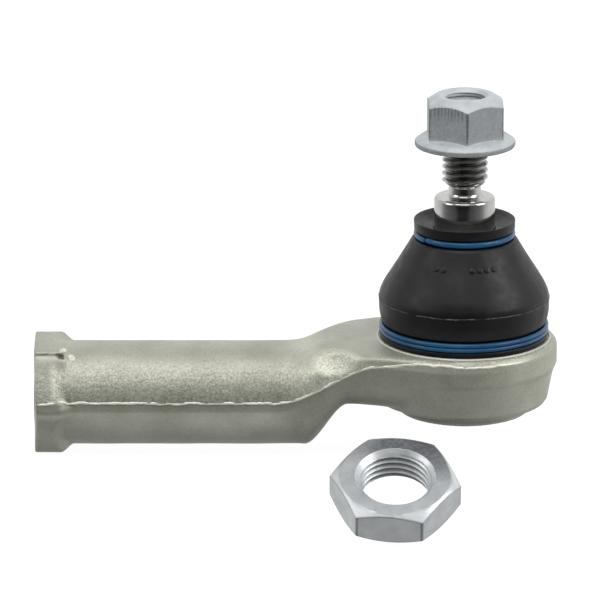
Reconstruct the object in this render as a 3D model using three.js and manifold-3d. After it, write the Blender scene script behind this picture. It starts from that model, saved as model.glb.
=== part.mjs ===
// Outer tie rod end of a car's steering: a forged housing with a female threaded barrel,
// a preloaded ball stud under a rubber dust boot, and its flange nut and jam nut.
// Millimetres, +Z up. The origin is the mouth of the barrel's thread, +X runs along the
// barrel to the ball joint, and +Z is the axis of the stud.
import * as THREE from 'three';
import { mergeVertices } from 'three/addons/utils/BufferGeometryUtils.js';
import Module from 'manifold-3d';

// ---------------------------------------------------------------- driving dimensions
const GAP = 0.3;                    // room left between two pieces that touch
const STUD_X = 93;                  // barrel mouth to stud axis

// tie rod thread M16 x 1.5 and its hexagonal collar
const BARREL_R = 11.25;
const BARREL_END = 57;              // where the round barrel starts to turn into the neck
const BORE_R = 7.2;                 // minor radius of M16 x 1.5
const BORE_DEPTH = 52;
const BORE_CHAMFER = 1.1;
const COLLAR_AF = 24;               // across flats
const COLLAR_CORNER_R = 13.2;       // corners are rounded off to this radius
const COLLAR_TURN = -5;             // degrees from flats level to the collar's own flats
const COLLAR_LENGTH = 6;
const COLLAR_FADE = 2.6;            // concave run from the collar down to the barrel

// neck between barrel and head
const NECK_TOP = 12.8;
const NECK_BOTTOM = -0.7;
const PARTING_BARREL = 0.8;         // height of the die parting line along the barrel
const PARTING_HEAD = 10.5;          // and where it reaches the head
const NECK_FLARE = 0.262;           // sideways growth per millimetre, tangent to the head
const NECK_DRAFT = 0.09;            // how much narrower the neck is at its underside
const NECK_END = 88;

// head
const HEAD_TOP = 12.9;
const HEAD_BOTTOM = -1.7;
const HEAD_R = 20.2;
const BOSS_R = 14.3;                // machined boss that holds the closing plate
const BOSS_BOTTOM = -3.5;
const SPIGOT_R = 15.6;              // collar of the head that the boot is clamped on
const SPIGOT_TOP = 17.3;

// ball joint
const BALL_Z = 9;
const BALL_R = 9.5;
const BALL_FLAT = 8.06;             // the ball is cut flat this far below its centre
const SEAT_R = 11.6;                // outside of the bearing seats
const CAVITY_R = SEAT_R + GAP;
const SEAT_BORE = BALL_R + GAP;
const SEAT_TOP = 14.4;
const SEAT_SHOULDER = 12.5;
const SOCKET_MOUTH_R = 8.8;
const PAD_BOTTOM = -1.4;
const PLATE_R = 12.3;
const PLATE_T = 1.3;
const PLATE_RIM_TOP = -1.6;
const PLATE_DISH_TOP = -3;

// stud
const NECK_R = 5;
const SEAT_CYLINDER_R = 6.6;
const SHOULDER_Z = 44.3;
const UNDERCUT_R = 3.5;
const THREAD_START = 47.2;
const THREAD_R = 4.51;              // pitch radius of M10 x 1.5
const STUD_END = 65.6;

// boot and its clamp rings
const BOOT_BOTTOM = HEAD_TOP + GAP;
const BOOT_TOP = 39;
const BOOT_RIM_R = 10.95;
const BOOT_BELLY_R = 18.5;
const BOOT_BELLY_Z = 21.2;
const LIP_R = SEAT_CYLINDER_R + GAP;
const UPPER_RING = { inner: 10, outer: 11, low: 35.2, high: 36.8 };
const LOWER_RING = { inner: 17.2, outer: 18.35, low: 14.2, high: 16.2 };
const INSERT = { inner: LIP_R, outer: 8.9, low: 32.6, high: 34.1 };

// M10 x 1.5 flange nut
const NUT_BOTTOM = 55.6;
const NUT_TOP = 66.8;
const NUT_AF = 16;
const NUT_BORE_R = 4.85;
const NUT_CORNER_TURN = -87.8;      // degrees from +X to the corner that faces forward
const FLANGE_R = 10.85;

// M16 x 1.5 jam nut, lying loose in front of the neck
const JAM_AF = 24;
const JAM_HEIGHT = 8;
const JAM_CENTRE = [77.4, -60, -2.9];
const JAM_TIP = 26;                 // degrees that its axis leans forward
const JAM_TURN = 6.5;               // degrees its front face is turned to the left

const DEG = Math.PI / 180;

// ---------------------------------------------------------------- geometry helpers
const wasm = await Module();
wasm.setup();

// Shares equal corners between triangles and drops the ones that collapse on the axis.
function weld(geometry) {
  const bare = geometry.index ? geometry.toNonIndexed() : geometry.clone();
  for (const name of Object.keys(bare.attributes)) {
    if (name !== 'position') bare.deleteAttribute(name);
  }
  const welded = mergeVertices(bare, 1e-4);
  const index = [];
  for (let i = 0; i < welded.index.count; i += 3) {
    const [a, b, c] = [0, 1, 2].map((k) => welded.index.getX(i + k));
    if (a !== b && b !== c && c !== a) index.push(a, b, c);
  }
  welded.setIndex(index);
  return facingOut(welded);
}

function signedVolume(geometry) {
  const [a, b, c] = [new THREE.Vector3(), new THREE.Vector3(), new THREE.Vector3()];
  const { position } = geometry.attributes;
  let volume = 0;
  for (let i = 0; i < geometry.index.count; i += 3) {
    a.fromBufferAttribute(position, geometry.index.getX(i));
    b.fromBufferAttribute(position, geometry.index.getX(i + 1));
    c.fromBufferAttribute(position, geometry.index.getX(i + 2));
    volume += a.dot(b.cross(c)) / 6;
  }
  return volume;
}

function facingOut(geometry) {
  if (signedVolume(geometry) < 0) {
    geometry.setIndex(Array.from(geometry.index.array).reverse());
  }
  return geometry;
}

function toSolid(geometry) {
  const welded = weld(geometry);
  return new wasm.Manifold(new wasm.Mesh({
    numProp: 3,
    vertProperties: new Float32Array(welded.attributes.position.array),
    triVerts: new Uint32Array(welded.index.array),
  }));
}

function toGeometry(solid) {
  const mesh = solid.getMesh();
  const geometry = new THREE.BufferGeometry();
  geometry.setAttribute('position', new THREE.BufferAttribute(mesh.vertProperties, 3));
  geometry.setIndex(new THREE.BufferAttribute(mesh.triVerts, 1));
  return geometry;
}

// A profile of [radius, height] points, turned about Z.
function turned(profile, segments = 36) {
  const closed = [...profile, profile[0]].map(([r, z]) => new THREE.Vector2(r, z));
  return weld(new THREE.LatheGeometry(closed, segments).rotateX(Math.PI / 2));
}

// Points of an arc in a profile, both ends included, angles in degrees.
function arc(radius, height, size, from, to, steps) {
  return Array.from({ length: steps + 1 }, (_, i) => {
    const angle = (from + ((to - from) * i) / steps) * DEG;
    return [radius + size * Math.cos(angle), height + size * Math.sin(angle)];
  });
}

function smooth(from, to, x) {
  return THREE.MathUtils.smoothstep(x, from, to);
}

function mix(a, b, t) {
  return a + (b - a) * t;
}

// A closed skin through rings of equally many points, with a flat fan at each end.
function loft(rings) {
  const count = rings[0].length;
  const points = rings.flat();
  const index = [];
  for (let ring = 0; ring < rings.length - 1; ring += 1) {
    for (let i = 0; i < count; i += 1) {
      const next = (i + 1) % count;
      const [a, b] = [ring * count + i, ring * count + next];
      index.push(a, b, b + count, a, b + count, a + count);
    }
  }
  for (const [ring, flip] of [[0, true], [rings.length - 1, false]]) {
    const centre = points.length;
    const sum = new THREE.Vector3();
    rings[ring].forEach((p) => sum.add(p));
    points.push(sum.divideScalar(count));
    for (let i = 0; i < count; i += 1) {
      const [a, b] = [ring * count + i, ring * count + ((i + 1) % count)];
      index.push(centre, flip ? b : a, flip ? a : b);
    }
  }
  const geometry = new THREE.BufferGeometry().setFromPoints(points);
  geometry.setIndex(index);
  return weld(geometry);
}

// A hexagonal prism on Z whose first corner stands at the given angle.
function hexPrism(acrossFlats, low, high, cornerAngle) {
  const height = high - low;
  const radius = acrossFlats / 2 / Math.cos(30 * DEG);
  return new THREE.CylinderGeometry(radius, radius, height, 6)
    .rotateX(Math.PI / 2)
    .rotateZ((cornerAngle - 90) * DEG)
    .translate(0, 0, (low + high) / 2);
}

// ---------------------------------------------------------------- housing
// Outline radius of the collar at an angle: a hexagon with flats nearly level.
function collarRadius(angle) {
  const sector = 60 * DEG;
  const ownAngle = angle - COLLAR_TURN * DEG;
  const fromFlat = (((ownAngle % sector) + sector) % sector) - sector / 2;
  return Math.min(COLLAR_AF / 2 / Math.cos(fromFlat), COLLAR_CORNER_R);
}

// One cross-section of barrel and neck: above and below the parting line each half is a
// superellipse, round on the barrel and boxy on the neck.
function forgingSection(x, count = 72) {
  const boxy = smooth(BARREL_END, 67, x);
  const half = BARREL_R + NECK_FLARE * Math.max(0, x - BARREL_END);
  const parting = mix(PARTING_BARREL, PARTING_HEAD, smooth(52.5, 75.5, x));
  const top = mix(BARREL_R, NECK_TOP, boxy);
  const bottom = mix(-BARREL_R, NECK_BOTTOM, smooth(58.5, 68, x));
  const round = 1 - smooth(50, BARREL_END, x);
  return Array.from({ length: count }, (_, i) => {
    const angle = (i / count) * 2 * Math.PI;
    const [c, s] = [Math.cos(angle), Math.sin(angle)];
    const power = 2 / mix(2, s > 0 ? 6 : 4, boxy);
    const level = Math.abs(s) ** power;
    const draft = s > 0 ? 1 : 1 - NECK_DRAFT * boxy * level;
    const y = -half * draft * Math.sign(c) * Math.abs(c) ** power;
    const rise = (s > 0 ? top - parting : parting - bottom) * level;
    const z = parting + Math.sign(s) * rise;
    const circleY = -BARREL_R * c;
    const circleZ = BARREL_R * s;
    return new THREE.Vector3(x, mix(y, circleY, round), mix(z, circleZ, round));
  });
}

function collarSection(x, count = 72) {
  const fade = smooth(COLLAR_LENGTH - 0.4, COLLAR_LENGTH + COLLAR_FADE, x);
  return Array.from({ length: count }, (_, i) => {
    const angle = (i / count) * 2 * Math.PI;
    const radius = mix(collarRadius(angle), BARREL_R, fade);
    return new THREE.Vector3(x, -radius * Math.cos(angle), radius * Math.sin(angle));
  });
}

function barrelAndNeck() {
  const collar = [0, COLLAR_LENGTH - 0.4, 6.5, 7.4, COLLAR_LENGTH + COLLAR_FADE];
  const neck = [50, 54, BARREL_END, 59.5, 61.5, 63.5, 65.5, 67.5, 70, 73, 80, NECK_END];
  return loft([...collar.map((x) => collarSection(x)), ...neck.map((x) => forgingSection(x))]);
}

function headBlank() {
  return turned([
    [0, BOSS_BOTTOM], [BOSS_R - 0.3, BOSS_BOTTOM], [BOSS_R, BOSS_BOTTOM + 0.3],
    [BOSS_R, HEAD_BOTTOM], [16.7, HEAD_BOTTOM], [17.9, -1.1], [18.35, -0.4], [19.35, 5.2],
    [HEAD_R, 7.4], [HEAD_R, 11.4], [19.6, 12.5], [18.9, HEAD_TOP],
    [SPIGOT_R, HEAD_TOP], [SPIGOT_R, SPIGOT_TOP - 0.5], [SPIGOT_R - 0.5, SPIGOT_TOP],
    [0, SPIGOT_TOP],
  ], 48);
}

// The room for seats, ball and closing plate, open at the top and at the bottom.
function socketRoom() {
  const lipInner = 11.5;
  return turned([
    [0, -6], [lipInner, -6], [lipInner, PLATE_RIM_TOP - PLATE_T - GAP],
    [PLATE_R + GAP, PLATE_RIM_TOP - PLATE_T - GAP], [PLATE_R + GAP, PLATE_RIM_TOP + GAP],
    [CAVITY_R, PLATE_RIM_TOP + GAP], [CAVITY_R, SEAT_SHOULDER + GAP],
    [10.1, SEAT_TOP + GAP], [SOCKET_MOUTH_R, SEAT_TOP + GAP], [SOCKET_MOUTH_R, 15.4],
    [10.8, SPIGOT_TOP + 1], [0, SPIGOT_TOP + 1],
  ]);
}

function threadBore() {
  return turned([
    [0, 1], [BORE_R + BORE_CHAMFER + 1, 1], [BORE_R, -BORE_CHAMFER],
    [BORE_R, -BORE_DEPTH], [0, -BORE_DEPTH - 3],
  ], 32).rotateY(-Math.PI / 2);
}

function housing() {
  const head = toSolid(headBlank().translate(STUD_X, 0, 0));
  const room = toSolid(socketRoom().translate(STUD_X, 0, 0));
  const solid = toSolid(barrelAndNeck()).add(head).subtract(room).subtract(toSolid(threadBore()));
  return toGeometry(solid);
}

// ---------------------------------------------------------------- inside the head
function upperSeat() {
  const openingAngle = Math.asin((SEAT_TOP - BALL_Z) / SEAT_BORE) / DEG;
  const low = GAP / 2;
  const lowAngle = Math.asin(low / SEAT_BORE) / DEG;
  return turned([
    [SEAT_R, BALL_Z + low], [SEAT_R, SEAT_SHOULDER], [9.8, SEAT_TOP],
    ...arc(0, BALL_Z, SEAT_BORE, openingAngle, lowAngle, 5),
  ]);
}

function lowerSeat() {
  const greaseHole = 3.5;
  const low = -GAP / 2;
  const lowAngle = Math.asin(low / SEAT_BORE) / DEG;
  const holeAngle = -Math.acos(greaseHole / SEAT_BORE) / DEG;
  return turned([
    ...arc(0, BALL_Z, SEAT_BORE, lowAngle, holeAngle, 7),
    [greaseHole, PAD_BOTTOM], [10.6, PAD_BOTTOM], [SEAT_R, PAD_BOTTOM + 1],
    [SEAT_R, BALL_Z + low],
  ]);
}

// A coned spring washer that presses the lower seat up against the ball.
function preloadSpring() {
  const [inner, outer] = [4.5, 8.6];
  return turned([[inner, -2.3], [outer, -2.7], [outer, -2.1], [inner, -1.7]]);
}

function closingPlate() {
  const rimBottom = PLATE_RIM_TOP - PLATE_T;
  const dishBottom = PLATE_DISH_TOP - PLATE_T;
  return turned([
    [0, dishBottom], [9.3, dishBottom], [10.4, rimBottom], [PLATE_R, rimBottom],
    [PLATE_R, PLATE_RIM_TOP], [10.1, PLATE_RIM_TOP], [9, PLATE_DISH_TOP], [0, PLATE_DISH_TOP],
  ]);
}

// ---------------------------------------------------------------- ball stud
function ballStud() {
  const flatAngle = -Math.asin(BALL_FLAT / BALL_R) / DEG;
  const neckAngle = Math.acos(NECK_R / BALL_R) / DEG;
  return turned([
    [0, BALL_Z - BALL_FLAT], ...arc(0, BALL_Z, BALL_R, flatAngle, neckAngle, 12),
    [NECK_R, 21.5], [SEAT_CYLINDER_R, 27],
    [SEAT_CYLINDER_R, SHOULDER_Z - 0.8], [SEAT_CYLINDER_R - 0.8, SHOULDER_Z],
    [UNDERCUT_R + 0.6, SHOULDER_Z], [UNDERCUT_R, SHOULDER_Z + 0.6],
    [UNDERCUT_R, THREAD_START - 0.7], [THREAD_R, THREAD_START],
    [THREAD_R, STUD_END - 0.8], [THREAD_R - 0.8, STUD_END], [0, STUD_END],
  ], 32);
}

// ---------------------------------------------------------------- boot and rings
function dustBoot() {
  const upperGroove = UPPER_RING.inner - GAP;
  const lowerGroove = LOWER_RING.inner - GAP;
  const spigotBore = SPIGOT_R + GAP;
  return turned([
    [spigotBore, BOOT_BOTTOM], [18.2, BOOT_BOTTOM], [18.2, LOWER_RING.low - 0.2],
    [lowerGroove, LOWER_RING.low - 0.2], [lowerGroove, LOWER_RING.high + 0.2],
    [17.9, LOWER_RING.high + 0.3], [18.3, 18.5], [BOOT_BELLY_R, BOOT_BELLY_Z], [17.9, 23.9],
    [16.7, 26.6], [14.9, 29.4], [13.3, 32.1], [11.4, UPPER_RING.low - 0.3],
    [upperGroove, UPPER_RING.low - 0.2], [upperGroove, UPPER_RING.high + 0.2],
    [BOOT_RIM_R, UPPER_RING.high + 0.3], [BOOT_RIM_R, BOOT_TOP], [10.1, BOOT_TOP],
    [8.2, 37.6], [LIP_R, 37.4], [LIP_R, INSERT.high + GAP],
    [INSERT.outer + GAP, INSERT.high + GAP], [INSERT.outer + GAP, 33.4],
    [11.3, 31.4], [13.4, 28.2], [15.4, 25], [16.6, 22.2], [16.6, 19.6],
    [spigotBore, SPIGOT_TOP + GAP],
  ]);
}

function clampRing({ inner, outer, low, high }) {
  const bevel = 0.3;
  return turned([
    [inner, low], [outer - bevel, low], [outer, low + bevel],
    [outer, high - bevel], [outer - bevel, high], [inner, high],
  ]);
}

function bootLipInsert() {
  const { inner, outer, low, high } = INSERT;
  return turned([[inner, low], [outer, low], [outer, high], [inner, high]]);
}

// ---------------------------------------------------------------- nuts
function flangeNut() {
  const coneTop = 58.1;
  const flange = turned([
    [0, NUT_BOTTOM], [FLANGE_R - 0.3, NUT_BOTTOM], [FLANGE_R, NUT_BOTTOM + 0.3],
    [FLANGE_R, NUT_BOTTOM + 0.9], [10.6, 56.8], [9.24, 57.75], [8, coneTop], [0, coneTop],
  ]);
  const chamfer = turned([[0, 57], [12, 57], [12, 63.1], [6.3, NUT_TOP], [0, NUT_TOP]]);
  const bore = turned([
    [0, 55], [5.9, 55], [NUT_BORE_R, 56.1], [NUT_BORE_R, NUT_TOP - 0.6],
    [5.7, NUT_TOP + 0.5], [0, NUT_TOP + 0.5],
  ], 32);
  const hex = toSolid(hexPrism(NUT_AF, 57.2, NUT_TOP, NUT_CORNER_TURN));
  return toGeometry(hex.intersect(toSolid(chamfer)).add(toSolid(flange)).subtract(toSolid(bore)));
}

function jamNut() {
  const half = JAM_HEIGHT / 2;
  const face = 11.4;
  const edgeDrop = (15 - face) * Math.tan(30 * DEG);
  const chamfer = turned([
    [0, -half], [face, -half], [15, edgeDrop - half], [15, half - edgeDrop], [face, half],
    [0, half],
  ]);
  const mouth = 8.4;
  const bore = turned([
    [0, -half - 0.5], [mouth + 0.5, -half - 0.5], [BORE_R, mouth - BORE_R - half],
    [BORE_R, half - mouth + BORE_R], [mouth + 0.5, half + 0.5], [0, half + 0.5],
  ], 32);
  const hex = toSolid(hexPrism(JAM_AF, -half, half, -60 - JAM_TURN));
  return toGeometry(hex.intersect(toSolid(chamfer)).subtract(toSolid(bore)));
}

// ---------------------------------------------------------------- assembly
const FINISH = {
  forging: { color: 0x9b9c8e, roughness: 0.42, metalness: 0.85 },
  polished: { color: 0xc9cbcd, roughness: 0.15, metalness: 1 },
  zinc: { color: 0xb6bcc1, roughness: 0.35, metalness: 0.9 },
  rubber: { color: 0x1c1d1f, roughness: 0.6, metalness: 0 },
  ring: { color: 0x235a8c, roughness: 0.35, metalness: 0.1 },
  acetal: { color: 0xe4e2da, roughness: 0.5, metalness: 0 },
  spring: { color: 0x6f7378, roughness: 0.35, metalness: 1 },
};

const group = new THREE.Group();

function place(name, geometry, finish, parent) {
  const mesh = new THREE.Mesh(geometry, new THREE.MeshStandardMaterial(FINISH[finish]));
  mesh.name = name;
  parent.add(mesh);
  return mesh;
}

const head = new THREE.Group();
head.position.x = STUD_X;
group.add(head);

place('housing', housing(), 'forging', group);
place('upper_seat', upperSeat(), 'acetal', head);
place('lower_seat', lowerSeat(), 'acetal', head);
place('preload_spring', preloadSpring(), 'spring', head);
place('closing_plate', closingPlate(), 'zinc', head);
place('ball_stud', ballStud(), 'polished', head);
place('dust_boot', dustBoot(), 'rubber', head);
place('lower_clamp_ring', clampRing(LOWER_RING), 'ring', head);
place('upper_clamp_ring', clampRing(UPPER_RING), 'ring', head);
place('boot_lip_insert', bootLipInsert(), 'acetal', head);
place('flange_nut', flangeNut(), 'zinc', head);

const looseNut = place('jam_nut', jamNut(), 'zinc', group);
looseNut.position.set(...JAM_CENTRE);
looseNut.rotation.x = JAM_TIP * DEG;

export default group;
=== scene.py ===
"""Tie rod end: fine meshes, materials, floor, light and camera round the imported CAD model.

Shapes are worked out in millimetres in the part's own frame: +X along the barrel, +Z up the
stud, the origin at the mouth of the barrel's thread. They become metres in add_piece.
"""

import math

import bmesh
import bpy
import numpy as np
from mathutils import Matrix, Vector, noise


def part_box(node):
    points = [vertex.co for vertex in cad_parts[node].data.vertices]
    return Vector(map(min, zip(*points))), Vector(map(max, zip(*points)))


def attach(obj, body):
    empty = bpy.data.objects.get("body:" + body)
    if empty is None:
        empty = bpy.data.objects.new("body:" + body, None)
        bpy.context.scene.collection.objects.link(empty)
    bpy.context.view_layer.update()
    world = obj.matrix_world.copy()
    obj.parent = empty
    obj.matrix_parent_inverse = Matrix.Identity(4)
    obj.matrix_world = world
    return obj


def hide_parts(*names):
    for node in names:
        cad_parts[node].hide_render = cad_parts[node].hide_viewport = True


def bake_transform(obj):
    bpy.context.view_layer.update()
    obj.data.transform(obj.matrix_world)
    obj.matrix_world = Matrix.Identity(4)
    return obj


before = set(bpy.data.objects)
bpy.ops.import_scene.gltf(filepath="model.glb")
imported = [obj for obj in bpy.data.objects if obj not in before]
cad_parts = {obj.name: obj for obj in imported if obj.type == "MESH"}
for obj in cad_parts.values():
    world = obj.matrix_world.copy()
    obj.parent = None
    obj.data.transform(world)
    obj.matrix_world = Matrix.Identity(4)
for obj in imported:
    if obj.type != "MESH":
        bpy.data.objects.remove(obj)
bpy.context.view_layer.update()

MM = 0.001


def box_mm(node):
    """Lowest and highest corner of a CAD node, in millimetres."""
    low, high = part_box(node)
    return np.array(low) / MM, np.array(high) / MM


# ---- sizes, from the frame
STUD_LOW, STUD_HIGH = box_mm("ball_stud")
BOOT_LOW, BOOT_HIGH = box_mm("dust_boot")
NUT_LOW, NUT_HIGH = box_mm("flange_nut")
JAM_LOW, JAM_HIGH = box_mm("jam_nut")
UPPER_LOW, UPPER_HIGH = box_mm("upper_clamp_ring")
LOWER_LOW, LOWER_HIGH = box_mm("lower_clamp_ring")
HOUSING_LOW, HOUSING_HIGH = box_mm("housing")

STUD_X = (STUD_LOW[0] + STUD_HIGH[0]) / 2
STUD_AXIS = (STUD_X, 0.0, 0.0)
FLOOR_Z = HOUSING_LOW[2]

# housing
BARREL_R = 11.25
BARREL_END = 57.0
BORE_R = 7.2
BORE_DEPTH = 52.0
MOUTH_R = 8.3
COLLAR_APOTHEM = 12.0
COLLAR_CORNER_R = 13.2
COLLAR_LENGTH = 6.0
COLLAR_TURN = -5.0
NECK_FLARE = 0.262
NECK_TOP = 12.85
HEAD_TOP = 12.9
HEAD_R = HOUSING_HIGH[0] - STUD_X
SPIGOT_R = 15.6
ROUND_BOTTOM, BOSS_BOTTOM = -1.7, -3.5
PARTING_BARREL, PARTING_HEAD = 0.8, 10.5
DIE_STEP = 0.22
HOLLOW = (66.3, 17.3, 13.6)
HOLLOW_LENGTH, HOLLOW_DEPTH = 7.8, 6.4

# ball stud
BALL_R = (STUD_HIGH[0] - STUD_LOW[0]) / 2
BALL_Z = 9.0
SHANK_R = 6.6
SHOULDER_Z = 44.3
THREAD_START = 47.15

# boot and rings
BOOT_R = 18.45
BOOT_FLASH_Z = 21.8
PIP_Z, PIP_SIZE, PIP_PROUD = 31.2, 1.3, 0.22
WIRE_TIP = 0.05

# nuts
FLANGE_NUT_FLATS, FLANGE_NUT_TURN = 16.0, -88.3
JAM_FLATS, JAM_THICK, JAM_CHAMFER = 24.0, 8.0, 30.0
JAM_TIP, JAM_TURN = 26.0, 6.5

# M10 and M16 threads
PITCH = 1.5
THREAD_DEPTH = 0.86
STUD_THREAD_R = 4.95
FLANGE_BORE_R = 4.25

# camera
VIEW_PITCH = math.radians(16.5)
VIEW_DISTANCE = 1.494
VIEW_CENTRE = (57.5, 0, 20.8)


# ---- small maths
def smooth(low, high, value):
    """0 at low, 1 at high and an eased step between them. low may be the larger one."""
    t = np.clip((value - low) / (high - low), 0.0, 1.0)
    return t * t * (3.0 - 2.0 * t)


def mix(a, b, t):
    return a + (b - a) * t


def unit(angle):
    """The plane vector at an angle."""
    return np.array([math.cos(angle), math.sin(angle)])


def soft_max(a, b, size):
    """The larger of two fields, with the edge between them rounded off."""
    h = np.clip(size - np.abs(a - b), 0.0, None)
    return np.maximum(a, b) + h * h / (4.0 * size)


def soft_min(a, b, size):
    return -soft_max(-a, -b, size)


def grain(points, size, amount, seed=0.0):
    """Smooth noise at points in millimetres, about +-amount, with features of the given size."""
    shift = Vector((seed, seed * 1.7, seed * 0.3))
    values = [noise.noise(Vector(p) / size + shift) for p in points]
    return amount * np.array(values)


# ---- outlines
def outline(corners):
    """A polyline through (radius, height, fillet) corners, each rounded by its fillet."""
    points = []
    for i, (r, z, fillet) in enumerate(corners):
        here = np.array([r, z], float)
        if fillet == 0 or i in (0, len(corners) - 1):
            points.append(here)
            continue
        before = np.array(corners[i - 1][:2], float) - here
        after = np.array(corners[i + 1][:2], float) - here
        room, onward = np.linalg.norm(before), np.linalg.norm(after)
        reach = min(fillet, 0.48 * room, 0.48 * onward)
        start = here + before / room * reach
        end = here + after / onward * reach
        for t in np.linspace(0, 1, 6):
            points.append((1 - t) ** 2 * start + 2 * t * (1 - t) * here + t * t * end)
    return np.array(points)


def refine(points, step):
    """The same polyline with no segment longer than step."""
    out = [points[0]]
    for a, b in zip(points[:-1], points[1:]):
        count = max(1, math.ceil(np.linalg.norm(b - a) / step))
        out += [a + (b - a) * k / count for k in range(1, count + 1)]
    return np.array(out)


def arc(r, z, size, start, end, steps):
    """Corners on an arc, its angles in degrees."""
    angles = np.radians(np.linspace(start, end, steps))
    return [(r + size * math.cos(a), z + size * math.sin(a), 0) for a in angles]


# ---- meshes
class Shell:
    """Points in millimetres, faces, and a value per point for each named attribute."""

    def __init__(self, verts, faces, **values):
        self.verts = np.asarray(verts, float)
        self.faces = faces
        self.values = values


def grid_faces(count, around, wrap_shift=0, ring=False):
    """Quads over count rows of points. The last column joins the first one wrap_shift rows up."""
    faces = []
    last = count if ring else count - 1
    for i in range(last):
        below, above = i * around, (i + 1) % count * around
        faces += [(below + j, below + j + 1, above + j + 1, above + j) for j in range(around - 1)]
        low, high = i + wrap_shift, i + 1 + wrap_shift
        if ring:
            low, high = low % count, high % count
        if high < count:
            right, top = low * around, high * around
            faces.append((below + around - 1, right, top, above + around - 1))
    return faces


def strip(rows, ring=False, **values):
    """A skin over rows of points. ring joins the last row to the first."""
    rows = np.asarray(rows, float)
    faces = grid_faces(len(rows), rows.shape[1], ring=ring)
    flat = {name: np.broadcast_to(value, rows.shape[:2]).ravel() for name, value in values.items()}
    return Shell(rows.reshape(-1, 3), faces, **flat)


def cap(row):
    """A fan over one closed row."""
    count = len(row)
    verts = np.vstack([row, row.mean(0)])
    return Shell(verts, [(count, k, (k + 1) % count) for k in range(count)])


def closed(rows, **values):
    """A skin over rows of points, with its two ends closed."""
    return [strip(rows, **values), cap(rows[0]), cap(rows[-1])]


def polar(radius, angles, height, axis_x=0.0):
    """Points at polar places about an upright axis."""
    parts = axis_x + radius * np.cos(angles), radius * np.sin(angles), height
    return np.stack(np.broadcast_arrays(*parts), -1)


def polar_rows(angles, rows, axis_x=0.0):
    """Rows of points from (radius, height) pairs, each a number or one value per angle."""
    return np.array([polar(radius, angles, height, axis_x) for radius, height in rows])


def full_turn(segments):
    return np.linspace(0, 2 * math.pi, segments, endpoint=False)


def turned(profile, segments):
    """Rows of points for a (radius, height) profile turned about the stud's axis."""
    return polar_rows(full_turn(segments), profile, STUD_X)


def thread_lift(phase):
    """0 in the root and 1 on the crest, for a phase that grows by 1 from turn to turn."""
    return np.clip((np.abs(np.mod(phase, 1.0) - 0.5) - 0.09) / 0.33, 0.0, 1.0)


def thread_sleeve(angles, low, high, radius_at, shade="shade"):
    """A threaded wall from low to high. Its rows climb with the thread, so that the crests stay
    clean. radius_at takes the height and the thread's lift, and gives the radius and the value
    of the attribute named by shade."""
    per_turn = 16
    turns = (angles - angles[0]) / (2 * math.pi)
    count = math.ceil((high - low) / PITCH * per_turn) + per_turn + 3
    rows = np.arange(count)[:, None] / per_turn - 1.0
    heights = np.clip(low + PITCH * (rows + turns[None, :]), low, high)
    lift = thread_lift((heights - low) / PITCH - turns[None, :])
    radius, dark = radius_at(heights, lift)
    points = polar(radius, angles, heights)
    faces = grid_faces(count, len(angles), per_turn)
    return Shell(points.reshape(-1, 3), faces, **{shade: dark.ravel()})


def placed(shells, turn=None, shift=(0.0, 0.0, 0.0)):
    for shell in shells:
        if turn is not None:
            shell.verts = shell.verts @ np.array(turn).T
        shell.verts = shell.verts + np.array(shift)
    return shells


def add_piece(name, shells, body, node, slot, crease, blend=None):
    """One object from shells of points in millimetres, welded where their edges meet."""
    names = sorted({key for shell in shells for key in shell.values})
    points, faces, values = [], [], {key: [] for key in names}
    base = 0
    for shell in shells:
        faces += [tuple(k + base for k in face) for face in shell.faces]
        points.append(shell.verts)
        for key in names:
            values[key].append(shell.values.get(key, np.zeros(len(shell.verts))))
        base += len(shell.verts)
    mesh = bpy.data.meshes.new(name)
    mesh.from_pydata((np.vstack(points) * MM).tolist(), [], faces)
    for key in names:
        layer = mesh.attributes.new(key, "FLOAT", "POINT")
        layer.data.foreach_set("value", np.concatenate(values[key]).astype(np.float32))
    work = bmesh.new()
    work.from_mesh(mesh)
    bmesh.ops.remove_doubles(work, verts=work.verts, dist=0.002 * MM)
    bmesh.ops.recalc_face_normals(work, faces=work.faces)
    work.to_mesh(mesh)
    work.free()
    mesh.polygons.foreach_set("use_smooth", [True] * len(mesh.polygons))
    mesh.set_sharp_from_angle(angle=math.radians(crease))
    mesh.materials.append(FINISHES[slot])
    piece = bpy.data.objects.new(name, mesh)
    bpy.context.scene.collection.objects.link(piece)
    if blend:
        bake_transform(piece)
    else:
        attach(piece, body)
    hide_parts(node)


# ---- materials
class Nodes:
    """Short calls for the shader nodes of a material or of the world."""

    def __init__(self, tree):
        self.tree = tree

    def new(self, kind):
        return self.tree.nodes.new("ShaderNode" + kind)

    def feed(self, socket, value):
        """Links an output to a socket, or sets the socket to a number or a colour."""
        if isinstance(value, bpy.types.NodeSocket):
            self.tree.links.new(value, socket)
        else:
            socket.default_value = (*value, 1.0) if isinstance(value, tuple) else value

    def ramp(self, source, *stops):
        """A colour ramp of (position, grey or colour) stops."""
        node = self.new("ValToRGB")
        self.feed(node.inputs["Fac"], source)
        ramp = node.color_ramp
        while len(ramp.elements) < len(stops):
            ramp.elements.new(0.5)
        for element, (position, value) in zip(ramp.elements, stops):
            colour = value if isinstance(value, tuple) else (value, value, value)
            element.position = position
            element.color = (*colour, 1.0)
        return node.outputs["Color"]

    def blend(self, factor, a, b, kind="MIX"):
        node = self.new("Mix")
        node.data_type = "RGBA"
        node.blend_type = kind
        for socket, value in ((0, factor), (6, a), (7, b)):
            self.feed(node.inputs[socket], value)
        return node.outputs[2]


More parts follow.
